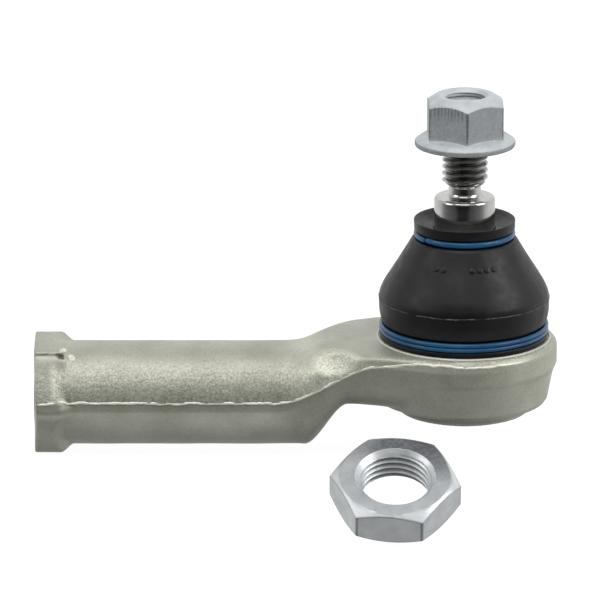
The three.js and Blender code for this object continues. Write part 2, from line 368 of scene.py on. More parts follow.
class Finish(Nodes):
    """A principled material and the textures that feed it."""

    def __init__(self, name, **sockets):
        self.material = bpy.data.materials.new(name)
        self.material.use_nodes = True
        super().__init__(self.material.node_tree)
        self.shader = self.tree.nodes["Principled BSDF"]
        self.place = self.new("TexCoord").outputs["Object"]
        self.normal = None
        for socket, value in sockets.items():
            self.link(value, socket.replace("_", " ").title().replace("Ior", "IOR"))

    def link(self, source, socket):
        self.feed(self.shader.inputs[socket], source)

    def attribute(self, name):
        node = self.new("Attribute")
        node.attribute_name = name
        return node.outputs["Fac"]

    def stretch(self, x, y, z):
        """Object coordinates in millimetres, scaled along each axis."""
        node = self.new("Mapping")
        self.feed(node.inputs["Vector"], self.place)
        node.inputs["Scale"].default_value = (x / MM, y / MM, z / MM)
        return node.outputs["Vector"]

    def noise(self, size, detail, rough=0.5, vector=None):
        """Noise from 0 to 1 with features about size millimetres wide."""
        node = self.new("TexNoise")
        self.feed(node.inputs["Vector"], vector or self.stretch(1, 1, 1))
        for socket, value in (("Scale", 1.0 / size), ("Detail", detail), ("Roughness", rough)):
            self.feed(node.inputs[socket], value)
        return node.outputs["Fac"]

    def cells(self, size):
        """Distance from the middle of cells about size millimetres wide."""
        node = self.new("TexVoronoi")
        self.feed(node.inputs["Vector"], self.stretch(1, 1, 1))
        self.feed(node.inputs["Scale"], 1.0 / size)
        return node.outputs["Distance"]

    def mottle(self, size, detail, low, high):
        """Noise that wanders between two tones, each a grey or a colour."""
        return self.ramp(self.noise(size, detail), (0.3, low), (0.7, high))

    def stain_and_shade_mask(self, size, faint_at, faint):
        """The attribute for stains and painted shade, broken up by noise."""
        broken = self.ramp(self.noise(size, 3), (faint_at, faint), (0.6, 1.0))
        return self.math("MULTIPLY", self.attribute("stain"), broken)

    def math(self, kind, a, b):
        node = self.new("Math")
        node.operation = kind
        self.feed(node.inputs[0], a)
        self.feed(node.inputs[1], b)
        return node.outputs[0]

    def height(self, source, depth, strength):
        """Adds a bump of the given depth in millimetres."""
        node = self.new("Bump")
        self.feed(node.inputs["Distance"], depth * MM)
        self.feed(node.inputs["Strength"], strength)
        self.feed(node.inputs["Height"], source)
        if self.normal:
            self.feed(node.inputs["Normal"], self.normal)
        self.normal = node.outputs["Normal"]
        self.link(self.normal, "Normal")


def forging_finish():
    """Blasted forging under satin zinc-nickel: olive grey, coarse where the attribute peen is
    high, lighter with painted highlights and bare wear, and darker with painted shade where shade
    is high."""
    f = Finish("forging", metallic=0.55)
    peen = f.attribute("peen")
    tone = f.mottle(9.0, 4, (0.36, 0.365, 0.30), (0.46, 0.465, 0.395))
    speck = f.ramp(f.noise(0.42, 3, 0.7), (0.3, 0.50), (0.5, 0.98), (0.68, 1.36))
    faint = f.ramp(f.noise(0.6, 4, 0.7), (0.3, 0.86), (0.6, 1.04))
    # painted highlights on the skin, with bare wear on the flash and machined lip, lighten the
    # base colour towards pale olive grey
    worn_and_highlit = f.blend(f.attribute("bright"), tone, (0.80, 0.81, 0.69))
    speckled = f.blend(1.0, worn_and_highlit, f.blend(peen, faint, speck), "MULTIPLY")
    pits = f.ramp(f.cells(4.2), (0.0, 0.4), (0.05, 1.0))
    pitted = f.blend(0.7, speckled, pits, "MULTIPLY")
    # painted shade: the base colour darkens towards near black where the shade attribute is high
    f.link(f.blend(f.attribute("shade"), pitted, (0.05, 0.05, 0.04)), "Base Color")
    f.link(f.mottle(1.2, 4, 0.40, 0.54), "Roughness")
    f.height(f.noise(1.1, 2), 0.10, f.math("ADD", f.math("MULTIPLY", peen, 0.55), 0.12))
    f.height(f.noise(0.40, 3, 0.65), 0.09, f.math("ADD", f.math("MULTIPLY", peen, 0.9), 0.1))
    f.height(pits, 0.10, 0.6)
    return f.material


def polished_finish():
    """Ground steel with fine rings round the stud, darkened with painted shade in the thread's
    roots where the attribute shade is high.
    """
    f = Finish("polished_steel", metallic=1.0)
    tone = f.mottle(3.0, 3, (0.45, 0.445, 0.44), (0.56, 0.555, 0.545))
    # painted shade: the base colour darkens towards near black in the thread's roots
    f.link(f.blend(f.attribute("shade"), tone, (0.035, 0.034, 0.032)), "Base Color")
    rings = f.noise(1.0, 2, vector=f.stretch(0.3, 0.3, 9.0))
    f.link(f.ramp(rings, (0.3, 0.09), (0.7, 0.17)), "Roughness")
    f.height(rings, 0.004, 0.12)
    return f.material


def flake_finish():
    """Zinc flake coating of the flange nut: matt, light, darker along its worn edges, with painted
    shade under the flange, in the flutes and in the bore.
    """
    f = Finish("zinc_flake", metallic=0.35)
    tone = f.mottle(2.2, 4, (0.43, 0.46, 0.475), (0.53, 0.56, 0.575))
    scuff = f.ramp(f.noise(0.8, 4, 0.7), (0.3, 0.72), (0.42, 1.0))
    stain = f.stain_and_shade_mask(0.7, 0.35, 0.8)
    coated = f.blend(0.6, tone, scuff, "MULTIPLY")
    # stains and painted shade darken the base colour towards a dark grey
    f.link(f.blend(stain, coated, (0.09, 0.095, 0.10)), "Base Color")
    f.link(f.mottle(0.6, 3, 0.42, 0.56), "Roughness")
    f.height(f.noise(0.35, 3), 0.02, 0.6)
    f.height(f.noise(1.6, 2), 0.05, 0.5)
    return f.material


def plate_finish():
    """Bluish zinc plate: satin, with faint stains, small nicks and darker edges, and painted shade
    on the jam nut's far side and in its thread.
    """
    f = Finish("zinc_plate", metallic=0.7)
    tone = f.mottle(3.5, 4, (0.54, 0.565, 0.58), (0.67, 0.69, 0.70))
    nick = f.ramp(f.noise(0.7, 5, 0.75), (0.3, 0.6), (0.4, 1.0))
    stain = f.stain_and_shade_mask(0.8, 0.3, 0.85)
    coated = f.blend(0.7, tone, nick, "MULTIPLY")
    # stains and painted shade darken the base colour towards a dark blue-grey
    f.link(f.blend(stain, coated, (0.07, 0.075, 0.085)), "Base Color")
    f.link(f.mottle(1.1, 4, 0.34, 0.46), "Roughness")
    f.height(f.noise(0.5, 3), 0.012, 0.5)
    f.height(f.noise(2.0, 2), 0.05, 0.4)
    return f.material


def rubber_finish():
    """Moulded black rubber: soft sheen, dusty specks, and lighter grey for the torn flash and for
    a painted sheen on the lip.
    """
    f = Finish("boot_rubber", specular_ior_level=0.33)
    base = f.mottle(5.0, 4, (0.0025, 0.0027, 0.0034), (0.0045, 0.0048, 0.006))
    dust = f.ramp(f.cells(2.8), (0.0, 1.0), (0.03, 0.0))
    dusty = f.blend(dust, base, (0.16, 0.16, 0.16))
    # lighter grey on the torn flash, and a painted sheen on the lip
    f.link(f.blend(f.attribute("bright"), dusty, (0.12, 0.12, 0.115)), "Base Color")
    f.link(f.mottle(2.4, 4, 0.36, 0.52), "Roughness")
    f.height(f.noise(0.3, 3), 0.012, 0.5)
    f.height(f.noise(3.0, 2), 0.08, 0.6)
    return f.material


def ring_finish():
    """Blue coated spring wire."""
    f = Finish("blue_ring", specular_ior_level=0.4, coat_weight=0.15, coat_roughness=0.15)
    f.link(f.mottle(4.0, 3, (0.002, 0.048, 0.125), (0.004, 0.072, 0.17)), "Base Color")
    f.link(f.mottle(0.8, 3, 0.26, 0.42), "Roughness")
    f.height(f.noise(0.5, 2), 0.01, 0.5)
    return f.material


def acetal_finish():
    """Off-white moulded acetal."""
    f = Finish("acetal", subsurface_weight=0.1)
    f.link(f.mottle(4.0, 3, (0.7, 0.69, 0.64), (0.8, 0.79, 0.75)), "Base Color")
    f.link(f.mottle(1.0, 3, 0.4, 0.55), "Roughness")
    f.height(f.noise(0.6, 2), 0.01, 0.4)
    return f.material


def spring_finish():
    """Blued spring steel."""
    f = Finish("spring_steel", metallic=1.0)
    f.link(f.mottle(2.0, 3, (0.2, 0.21, 0.24), (0.3, 0.31, 0.34)), "Base Color")
    f.link(f.mottle(0.8, 3, 0.25, 0.42), "Roughness")
    f.height(f.noise(0.4, 2), 0.01, 0.5)
    return f.material


FINISHES = {
    "forged_zinc_nickel": forging_finish(),
    "stud_steel": polished_finish(),
    "zinc_flake": flake_finish(),
    "zinc_plate": plate_finish(),
    "boot_rubber": rubber_finish(),
    "blue_ring": ring_finish(),
    "acetal": acetal_finish(),
    "spring_steel": spring_finish(),
}


# ---- housing
def polygon_distance(corners, r, z):
    """Signed distance to a closed (radius, height) polygon, negative inside."""
    points = np.asarray(corners, float)
    best = np.full(r.shape, 1e9)
    inside = np.zeros(r.shape, bool)
    for a, b in zip(points, np.roll(points, -1, axis=0)):
        edge = b - a
        t = np.clip(((r - a[0]) * edge[0] + (z - a[1]) * edge[1]) / (edge @ edge), 0, 1)
        best = np.minimum(best, np.hypot(r - a[0] - t * edge[0], z - a[1] - t * edge[1]))
        crosses = (a[1] > z) != (b[1] > z)
        rise = edge[1] if edge[1] else 1e-12
        inside ^= crosses & (r < a[0] + edge[0] * (z - a[1]) / rise)
    return np.where(inside, -best, best)


HEAD_OUTLINE = [
    (-1, 3), (0, 3), (14.3, 3), (14.3, ROUND_BOTTOM), (16.7, ROUND_BOTTOM), (17.8, -1.1),
    (18.35, -0.3), (19.3, 5.0), (19.6, 6.2), (HEAD_R, 7.4), (HEAD_R + 0.02, 9.5), (HEAD_R, 11.5),
    (19.6, 12.35), (18.9, HEAD_TOP), (-1, HEAD_TOP),
]
SPIGOT_OUTLINE = [(-1, 5), (SPIGOT_R, 5), (SPIGOT_R, 16.9), (SPIGOT_R - 0.4, 17.3), (-1, 17.3)]
BOSS_OUTLINE = [
    (-1, BOSS_BOTTOM), (13.95, BOSS_BOTTOM), (14.3, BOSS_BOTTOM + 0.35), (14.3, 5), (-1, 5),
]
ROOM_OUTLINE = [
    (-1, -6), (11.5, -6), (11.5, -3.2), (12.6, -3.2), (12.6, -1.3), (11.9, -1.3), (11.9, 12.8),
    (10.1, 14.7), (8.8, 14.7), (8.8, 15.4), (10.8, 18.3), (-1, 18.3),
]
TABLE_STEP = 0.1
TABLE_R = np.arange(0, 115, TABLE_STEP)
TABLE_Z = np.arange(-16, 22, TABLE_STEP)


def distance_table(corners):
    """Signed distances to an outline on the table's grid."""
    r, z = np.meshgrid(TABLE_R, TABLE_Z, indexing="ij")
    return polygon_distance(corners, r, z)


def lookup(table, r, z):
    """A distance table read at (r, z) by bilinear interpolation."""
    u = np.clip(r / TABLE_STEP, 0, len(TABLE_R) - 1.001)
    v = np.clip((z - TABLE_Z[0]) / TABLE_STEP, 0, len(TABLE_Z) - 1.001)
    i, j = u.astype(int), v.astype(int)
    u, v = u - i, v - j
    low = mix(table[i, j], table[i + 1, j], u)
    return mix(low, mix(table[i, j + 1], table[i + 1, j + 1], u), v)


HEAD_TABLE = distance_table(HEAD_OUTLINE)
SPIGOT_TABLE = distance_table(SPIGOT_OUTLINE)
BOSS_TABLE = distance_table(BOSS_OUTLINE)
ROOM_TABLE = distance_table(ROOM_OUTLINE)


def parting_height(x):
    """Height of the line where the dies part, which climbs from the barrel to the head."""
    return mix(PARTING_BARREL, PARTING_HEAD, smooth(52.5, 75.5, x))


def neck_half(x):
    """Half the width of barrel and neck."""
    past = x - BARREL_END
    return BARREL_R + NECK_FLARE * (past + np.hypot(past, 2.0)) / 2


def collar_radius(y, z):
    """Distance from the barrel's axis to the skin of the hexagonal collar."""
    angle = np.arctan2(z, -y) - math.radians(COLLAR_TURN)
    flat = COLLAR_APOTHEM / np.cos(np.mod(angle, math.pi / 3) - math.pi / 6)
    return soft_min(flat, np.full_like(flat, COLLAR_CORNER_R), 0.5)


def neck_field(x, y, z):
    """Barrel and neck: each half above and below the parting line is a superellipse, and the
    lower die's half is a step narrower."""
    boxy = smooth(BARREL_END, 67, x)
    half = neck_half(x)
    parting = parting_height(x)
    top = mix(BARREL_R, NECK_TOP, boxy) - parting
    floor = mix(-BARREL_R, -0.45, smooth(58.2, 67.9, x)) - 0.6 * smooth(68, 80, x)
    bottom = parting - floor
    above = z > parting
    level = np.where(above, (z - parting) / top, (parting - z) / bottom)
    draft = np.where(above, 1.0, 1 - 0.09 * boxy * np.minimum(level, 1))
    step = DIE_STEP * smooth(0.0, 0.22, parting - z) * smooth(1.0, 0.35, level)
    side = np.abs(y) / (half * draft - step)
    squarer = 2.0 + 4.6 * np.clip((x - 54) / 14, 0, 1) ** 2
    power = np.where(above, squarer, 2.0 + 2.0 * boxy)
    gauge = (side**power + level**power) ** (1 / power)
    size = np.hypot(y, z - parting) / np.maximum(gauge, 1e-6)
    boxed = (gauge - 1) * np.minimum(size, 12.0)

    collar = collar_radius(y, z)
    on_flat = 1.7 * (COLLAR_CORNER_R - collar)
    fade = smooth(COLLAR_LENGTH - 0.4, COLLAR_LENGTH + 2.6, x + on_flat)
    low_side = step * smooth(2.0, 8.0, np.abs(y))
    round_part = np.hypot(y, z) - mix(collar, BARREL_R, fade) + low_side
    body = mix(round_part, boxed, smooth(50, BARREL_END, x))
    body = soft_max(body, 0.09 * np.maximum(0, -y - 6.4) - x, 0.4)
    body = soft_max(body, (1 - neck_dent(x, y, z)) * HOLLOW_DEPTH, 1.2)
    return np.maximum(body, x - 90)


def neck_dent(x, y, z):
    """Distance, 1 at its skin, from the hollow that cuts the neck's upper corner on each side."""
    outward = np.abs(y) - HOLLOW[1] - 0.8 * (x - 66)
    along, up = (x - HOLLOW[0]) / HOLLOW_LENGTH, (z - HOLLOW[2]) / HOLLOW_DEPTH
    return np.sqrt(along**2 + (outward / HOLLOW_DEPTH) ** 2 + up**2)


def collar_marks(x, y, z):
    """Distances from the crease along the collar's upper corner, and from the pit and the beads
    where it ends."""
    angle = math.radians(60 + COLLAR_TURN)
    start = COLLAR_CORNER_R * unit(angle)
    crease = np.hypot(y + start[0] - 0.02 * x, z - start[1] + 0.05 * x)
    crease = np.maximum(crease, np.maximum(0.0, x - 5.6))
    pit = np.sqrt(((x - 5.8) / 1.3) ** 2 + (y + 7.6) ** 2 + (z - 10.2) ** 2)
    upper = np.sqrt((x - 6.4) ** 2 + (y + 6.3) ** 2 + (z - 11.1) ** 2)
    lower = np.sqrt((x - 8.0) ** 2 + (y + 6.0) ** 2 + (z - 9.7) ** 2) + 0.15
    return crease, pit, np.minimum(upper, lower)


def housing_field(x, y, z):
    """Roughly the distance to the forging's skin, negative inside."""
    r = np.hypot(x - STUD_X, y)
    head = lookup(HEAD_TABLE, r, z)
    underside = ROUND_BOTTOM + 0.4 * smooth(3, -12, x - STUD_X)
    head = soft_max(head, underside - z, 0.6)
    joined = soft_min(neck_field(x, y, z), head, 1.3)
    boss = np.minimum(lookup(BOSS_TABLE, r, z), lookup(SPIGOT_TABLE, r, z))
    lid = np.where(r > SPIGOT_R, z - HEAD_TOP, -9.0)
    body = np.minimum(soft_max(joined, lid, 0.5), boss)
    crease, pit, bead = collar_marks(x, y, z)
    body = soft_min(body, bead - 0.75, 0.4)
    body = soft_max(soft_max(body, 0.22 - crease, 0.2), 0.6 - pit, 0.4)
    bore = np.maximum(np.hypot(y, z) - MOUTH_R, x - BORE_DEPTH)
    return np.maximum(soft_max(body, -lookup(ROOM_TABLE, r, z), 0.4), -bore)


def surface_net(field, low, high, step):
    """Quads where a field is zero, on a grid, then moved onto the field's true surface."""
    axes = [np.arange(a, b + step, step) for a, b in zip(low, high)]
    values = field(*np.meshgrid(*axes, indexing="ij"))
    solid = values < 0
    shape = tuple(n - 1 for n in values.shape)
    corners = [(a, b, c) for a in (0, 1) for b in (0, 1) for c in (0, 1)]

    def part(array, offset):
        return array[tuple(slice(o, o + n) for o, n in zip(offset, shape))]

    count = sum(part(solid, c).astype(np.int8) for c in corners)
    cells = np.argwhere((count > 0) & (count < 8))
    number = np.full(shape, -1)
    number[tuple(cells.T)] = np.arange(len(cells))

    at = {c: values[tuple((cells + c).T)] for c in corners}
    total = np.zeros((len(cells), 3))
    hits = np.zeros(len(cells))
    for a in corners:
        for axis in range(3):
            b = tuple(v + (k == axis) for k, v in enumerate(a))
            if b not in at:
                continue
            cut = (at[a] < 0) != (at[b] < 0)
            t = np.where(cut, at[a] / np.where(cut, at[a] - at[b], 1), 0)
            spot = np.array(a, float) + np.outer(t, np.eye(3)[axis])
            total += spot * cut[:, None]
            hits += cut
    verts = np.array(low) + (cells + total / hits[:, None]) * step

    faces = []
    for axis in range(3):
        u, v = [k for k in range(3) if k != axis]
        near = solid[tuple(slice(0, -1) if k == axis else slice(1, -1) for k in range(3))]
        far = solid[tuple(slice(1, None) if k == axis else slice(1, -1) for k in range(3))]
        edges = np.argwhere(near != far)
        edges[:, u] += 1
        edges[:, v] += 1
        ring = []
        for du, dv in ((-1, -1), (0, -1), (0, 0), (-1, 0)):
            cell = edges.copy()
            cell[:, u] += du
            cell[:, v] += dv
            ring.append(number[tuple(cell.T)])
        faces += [tuple(q) for q in np.stack(ring, 1).tolist()]
    return settle(field, verts, step), faces


def slope(field, verts):
    """A field's value and gradient at points."""
    reach = 0.05
    value = field(*verts.T)
    gradient = np.empty_like(verts)
    for k in range(3):
        moved = verts.copy()
        moved[:, k] += reach
        gradient[:, k] = (field(*moved.T) - value) / reach
    return value, gradient


def settle(field, verts, step, rounds=4):
    """Moves points onto the field's surface in a few short Newton steps."""
    for _ in range(rounds):
        value, gradient = slope(field, verts)
        move = gradient * (value / np.maximum((gradient**2).sum(1), 0.05))[:, None]
        length = np.linalg.norm(move, axis=1, keepdims=True)
        verts = verts - move * np.minimum(1, 0.4 * step / np.maximum(length, 1e-9))
    return verts


def peen_map(verts):
    """How coarse the blasted skin is: most on the upper flanks and on the head's shelf."""
    x, y, z = verts.T
    parting = np.where(x < 76, parting_height(x), 11.0)
    rise = (z - parting) / np.maximum(12.0 - parting, 3.0)
    flank = smooth(-0.03, 0.05, rise) * smooth(1.0, 0.35, rise)
    flank = np.maximum(flank * smooth(78, 66, x), smooth(1.15, 0.98, neck_dent(x, y, z)))
    r = np.hypot(x - STUD_X, y)
    shelf = 0.85 * smooth(11.8, 12.4, z) * smooth(17.6, 18.6, r) * smooth(74, 80, x)
    patches = grain(verts, 6.0, 0.35, 12.0)
    return np.clip(np.maximum(np.maximum(flank, shelf), 0.16) + patches * 0.6, 0.05, 1.0)


def painted_shade_map(verts):
    """Painted shade on the forging: a dark band each side of the parting line, in the collar's
    crease and its pit, on the neck's lower walls, and a small dark spot on the head."""
    x, y, z = verts.T
    crease, pit, _ = collar_marks(x, y, z)
    nick = np.sqrt((x - 81.1) ** 2 + (y + 15.6) ** 2 + (z - 6.9) ** 2)
    marks = np.maximum(0.6 * smooth(0.5, 0.15, crease), 0.9 * smooth(1.0, 0.4, pit))
    rise = z - parting_height(x)
    beside = np.where(rise > 0, 0.31 * smooth(5.5, 0.5, rise) * smooth(60, 52, x),
                      0.34 * smooth(-2.4, -1.8, rise) * smooth(70, 62, x))
    wall = 0.33 * smooth(0.0, -0.8, rise) * smooth(51, 58, x) * smooth(105, 92, x)
    return np.maximum.reduce([marks, smooth(0.75, 0.3, nick), beside, wall])


def painted_highlight_map(verts):
    """Painted highlights on the forging: glints on the collar's beads, a light band on its
    shoulder, and the lit hollow and upper flank of the neck."""
    x, y, z = verts.T
    bead = collar_marks(x, y, z)[2]
    shoulder = 0.5 * smooth(1.1, 0.2, np.abs(x - 4.3)) * smooth(0.5, 2.0, z) * smooth(9.3, 8.0, z)
    flank = 0.25 * smooth(52, 60, x) * smooth(76, 70, x) * smooth(12.4, 11.0, z)
    hollow = np.maximum(0.45 * smooth(1.4, 0.98, neck_dent(x, y, z)), flank)
    hollow = hollow * (z > parting_height(x))
    return np.maximum(np.maximum(smooth(1.1, 0.6, bead), hollow), shoulder * (y < 0))


def bore_liner():
    """The barrel's threaded wall, from its mouth chamfer to the end of the bore."""
    angles = full_turn(120)

    def radius_at(height, lift):
        fade = smooth(BORE_DEPTH - 6, BORE_DEPTH - 9, height)
        groove = BORE_R + THREAD_DEPTH * (1 - lift) * fade
        # the second value is painted shade in the thread's roots
        return np.maximum(groove, MOUTH_R - height), 0.7 * (1 - lift) * fade

    sleeve = thread_sleeve(angles, 0.0, BORE_DEPTH, radius_at)
    end = polar_rows(angles, [(BORE_R, BORE_DEPTH), (3.0, BORE_DEPTH + 1.5)])
    rim = MOUTH_R + 0.03
    back = polar_rows(angles, [(MOUTH_R, 0.0), (rim, 0.0), (rim, BORE_DEPTH + 1.9)])
    shells = [sleeve, strip(end), cap(end[-1]), strip(back), cap(back[-1])]
    lay_down = [[0, 0, 1], [0, 1, 0], [-1, 0, 0]]
    return placed(shells, turn=lay_down)


def flash_path(side):
    """Points along the parting line: the barrel's flank, the neck and round the head's edge."""
    xs = np.arange(0.3, 87.5, 0.33)
    ys = side * np.maximum(neck_half(xs), COLLAR_APOTHEM + 0.2 - 0.25 * np.maximum(0, xs - 2))
    lift = parting_height(xs) + 1.2 * smooth(75, 84, xs)
    straight = np.stack([xs, ys, lift], 1)
    angles = np.radians(np.arange(104.5, 50, -0.95))
    rounded = polar(HEAD_R, side * angles, PARTING_HEAD + 1.2, STUD_X)
    return np.vstack([straight, rounded])


def flash_lines():
    """The thin torn ridge that the dies leave where they part, on both sides."""
    shells = []
    section = full_turn(8)
    for side in (-1, 1):
        path = settle(housing_field, flash_path(side), 0.4, rounds=6)
        path[:, 2] += grain(path, 2.3, 0.26, 3.0 + side) + grain(path, 0.8, 0.12, 8.0)
        away = slope(housing_field, path)[1]
        away /= np.linalg.norm(away, axis=1, keepdims=True)
        along = np.gradient(path, axis=0)
        along /= np.linalg.norm(along, axis=1, keepdims=True)
        up = np.cross(along, away) * side
        proud = 0.2 + grain(path, 1.3, 0.14, 21.0) + grain(path, 0.5, 0.1, 30.0)
        proud = np.clip(proud, 0.03, 0.4) * mix(1.0, 0.6, smooth(70, 80, path[:, 0]))
        fade = smooth(HEAD_R * 0.70, HEAD_R * 0.40, path[:, 0] - STUD_X)
        proud *= fade
        wide = (0.27 + grain(path, 1.7, 0.12, 40.0)) * fade
        rows = (path[:, None, :] + away[:, None, :] * (proud[:, None] * np.cos(section))[..., None]
                + up[:, None, :] * (wide[:, None] * np.sin(section))[..., None])
        shells += closed(rows, bright=0.9)
    return shells


def machined_rim():
    """The bright lip that the turning tool leaves round the boot's seat."""
    rim = outline([(18.3, 12.7, 0), (18.45, 13.08, 0.08), (18.75, 13.08, 0.12),
                   (19.0, 12.8, 0.1), (18.7, 12.5, 0)])
    return strip(turned(rim, 200), ring=True, bright=0.3)


def housing():
    """The forging: its skin from the field, the threaded bore, the lip and the flash."""
    step = 0.38
    verts, faces = surface_net(housing_field, (-1.1, -21.3, -13.2), (114.1, 21.3, 18.3), step)
    peen = peen_map(verts)
    wave = grain(verts, 6.0, 0.05) + peen * (grain(verts, 1.9, 0.05, 5.0)
                                             + grain(verts, 1.0, 0.05, 7.0))
    gradient = slope(housing_field, verts)[1]
    away = gradient / np.maximum(np.linalg.norm(gradient, axis=1, keepdims=True), 1e-6)
    verts = verts + away * (wave * smooth(0.5, 2.0, verts[:, 0]))[:, None]
    # the skin's attributes carry painted shade and painted highlights for its base colour
    skin = Shell(verts, faces, peen=peen, shade=painted_shade_map(verts), bright=painted_highlight_map(verts))
    shells = [skin, *bore_liner(), machined_rim(), *flash_lines()]
    add_piece("housing_forging", shells, "housing", "housing", "forged_zinc_nickel", crease=50)


# ---- ball stud
def ball_stud():
    """Ball, neck, shank with its shoulder, undercut and M10 thread."""
    start, end = THREAD_START, STUD_HIGH[2]
    root = STUD_THREAD_R - THREAD_DEPTH
    corners = [
        (0.6, STUD_LOW[2], 0), *arc(0, BALL_Z, BALL_R, -57.5, 58, 26), (5.0, 21.5, 4.0),
        (SHANK_R, 27.0, 4.0), (SHANK_R, SHOULDER_Z, 0.9), (4.3, SHOULDER_Z, 0.5),
        (3.6, SHOULDER_Z + 0.7, 0.7), (3.45, start - 0.45, 0.2), (root, start, 0),
    ]
    shank = turned(refine(outline(corners), 1.0), 144)

    def radius_at(height, lift):
        rise = smooth(start, start + 0.6, height)
        radius = np.minimum(root + THREAD_DEPTH * lift * rise, root - 0.3 + (end - height) * 0.8)
        # the second value is painted shade in the thread's roots
        return radius, 0.6 * smooth(0.95, 0.55, lift)

    sleeve = placed([thread_sleeve(full_turn(144), start, end, radius_at)], shift=STUD_AXIS)
    tip = turned([(root - 0.3, end)], 144)[0]
    shells = [strip(shank), cap(shank[0]), *sleeve, cap(tip)]
    add_piece("ball_stud_steel", shells, "stud", "ball_stud", "stud_steel", crease=40)


# ---- boot and rings
def boot_profile():
    """The boot's closed section: up its outside, over the lip and down its inside."""
    ring_low, ring_high = UPPER_LOW[2], UPPER_HIGH[2]
    foot_low, foot_high = LOWER_LOW[2], LOWER_HIGH[2]
    return outline([
        (15.9, BOOT_LOW[2], 0), (18.2, BOOT_LOW[2], 0.3), (18.2, foot_low - 0.1, 0.3),
        (16.9, foot_low - 0.1, 0.2), (16.9, foot_high + 0.1, 0.2), (17.9, foot_high + 0.4, 0.4),
        (18.4, 18.8, 1.4), (BOOT_R, 21.7, 0.8), (18.3, 22.9, 1.2), (17.6, 24.6, 1.4),
        (16.05, 27.1, 1.5), (14.1, 30.1, 2.0), (12.55, 32.7, 1.5), (11.4, ring_low - 0.5, 0.5),
        (11.0, ring_low - 0.1, 0.3), (9.8, ring_low - 0.1, 0.15), (9.8, ring_high + 0.1, 0.15),
        (10.9, ring_high + 0.2, 0.25), (10.95, BOOT_HIGH[2] + 0.15, 0.15), (9.9, 38.7, 0.6),
        (8.4, 37.5, 0.8), (7.2, 37.1, 0.3), (6.75, 37.2, 0.1), (6.75, 36.2, 0.1),
        (6.9, 34.4, 0.1), (9.2, 34.4, 0.2), (9.2, 33.4, 0.2), (11.3, 31.4, 1.0),
        (13.4, 28.2, 1.0), (15.4, 25.0, 1.0), (16.6, 22.2, 1.0), (16.6, 19.6, 0.8),
        (15.9, 17.6, 0.3), (15.9, BOOT_LOW[2], 0),
    ])[:-1]


def pip(profile, angle):
    """A small round pip on the boot's outside, at an angle in degrees."""
    outside = profile[: np.argmax(profile[:, 1])]
    cone = outside[(outside[:, 0] > 11.3) & (outside[:, 1] > 22)]
    levels = PIP_Z + PIP_SIZE / 2 * np.array([-1, 1])
    radii = np.interp(levels, cone[:, 1], cone[:, 0])
    a = math.radians(angle)
    out, side = np.array([math.cos(a), math.sin(a), 0]), np.array([-math.sin(a), math.cos(a), 0])
    up = out * (radii[1] - radii[0]) + np.array([0, 0, PIP_SIZE])
    up /= np.linalg.norm(up)
    away = np.cross(side, up)
    middle = np.array([STUD_X, 0, PIP_Z]) + out * radii.mean()
    ring = full_turn(20)
    edge = PIP_SIZE / 2 * (side * np.cos(ring)[:, None] + up * np.sin(ring)[:, None])
    rows = [middle + away * depth + edge * scale
            for depth, scale in ((-0.4, 1.0), (PIP_PROUD * 0.6, 1.0), (PIP_PROUD, 0.7))]
    return closed(np.array(rows))


def dust_boot():
    """The rubber boot, slightly uneven, with its torn flash seam and six pips."""
    profile = refine(boot_profile(), 0.7)
    segments = 220
    rows = turned(profile, segments)
    flat = rows.reshape(-1, 3)
    outside = smooth(17.0, 17.6, profile[:, 0]).repeat(segments)
    low_cone = smooth(15, 12, np.abs(profile[:, 1] - 25)).repeat(segments)
    away = flat - np.array([STUD_X, 0, 0])
    away[:, 2] = 0
    away /= np.linalg.norm(away, axis=1, keepdims=True)
    flat += away * (grain(flat, 7.0, 0.10, 2.0) * np.maximum(outside, low_cone))[:, None]
    # painted sheen: the lip's top face round the stud is lightened
    painted_lip_sheen = 0.3 * (profile[:, 0] < 9.6) * (profile[:, 1] > 36.9)
    body = strip(flat.reshape(rows.shape), ring=True, bright=painted_lip_sheen[:, None])

    angles = full_turn(420)
    trace = polar(40.0, angles, 0.0)
    proud = 0.12 + grain(trace, 5.0, 0.12, 4.0) + grain(trace, 1.4, 0.1, 9.0)
    height = BOOT_FLASH_Z + grain(trace, 9.0, 0.12, 6.0) + grain(trace, 1.1, 0.09, 1.0)
    section = full_turn(6)
    seam_r = BOOT_R - 0.01
    radius = seam_r + np.maximum(proud, 0.02)[None, :] * np.cos(section)[:, None]
    level = height[None, :] + 0.14 * np.sin(section)[:, None]
    seam = polar(radius, angles, level, STUD_X)
    torn = np.clip(proud * 3.2 - 0.1, 0, 1)
    shells = [body, strip(seam, ring=True, bright=torn)]
    for angle in (-118, -111, -84, -77, -70, -63):
        shells += pip(profile, angle)
    bend = {"a": "boot", "b": "boot_collar", "start": (STUD_X * MM, 0, 17 * MM),
            "end": (STUD_X * MM, 0, 35 * MM)}
    add_piece("rubber_boot", shells, None, "dust_boot", "boot_rubber", crease=60, blend=bend)


def wire(angles, radius, heights, size):
    """A wire round the stud's axis, with rounded ends. size has half its width and height."""
    section = full_turn(14)
    reach = np.minimum(angles - angles[0], angles[-1] - angles)
    thin = np.sqrt(np.clip(reach / WIRE_TIP, 0.05, 1.0))
    r = radius + size[0] * thin[:, None] * np.cos(section)
    z = heights[:, None] + size[1] * thin[:, None] * np.sin(section)
    return closed(polar(r, angles[:, None], z, STUD_X))


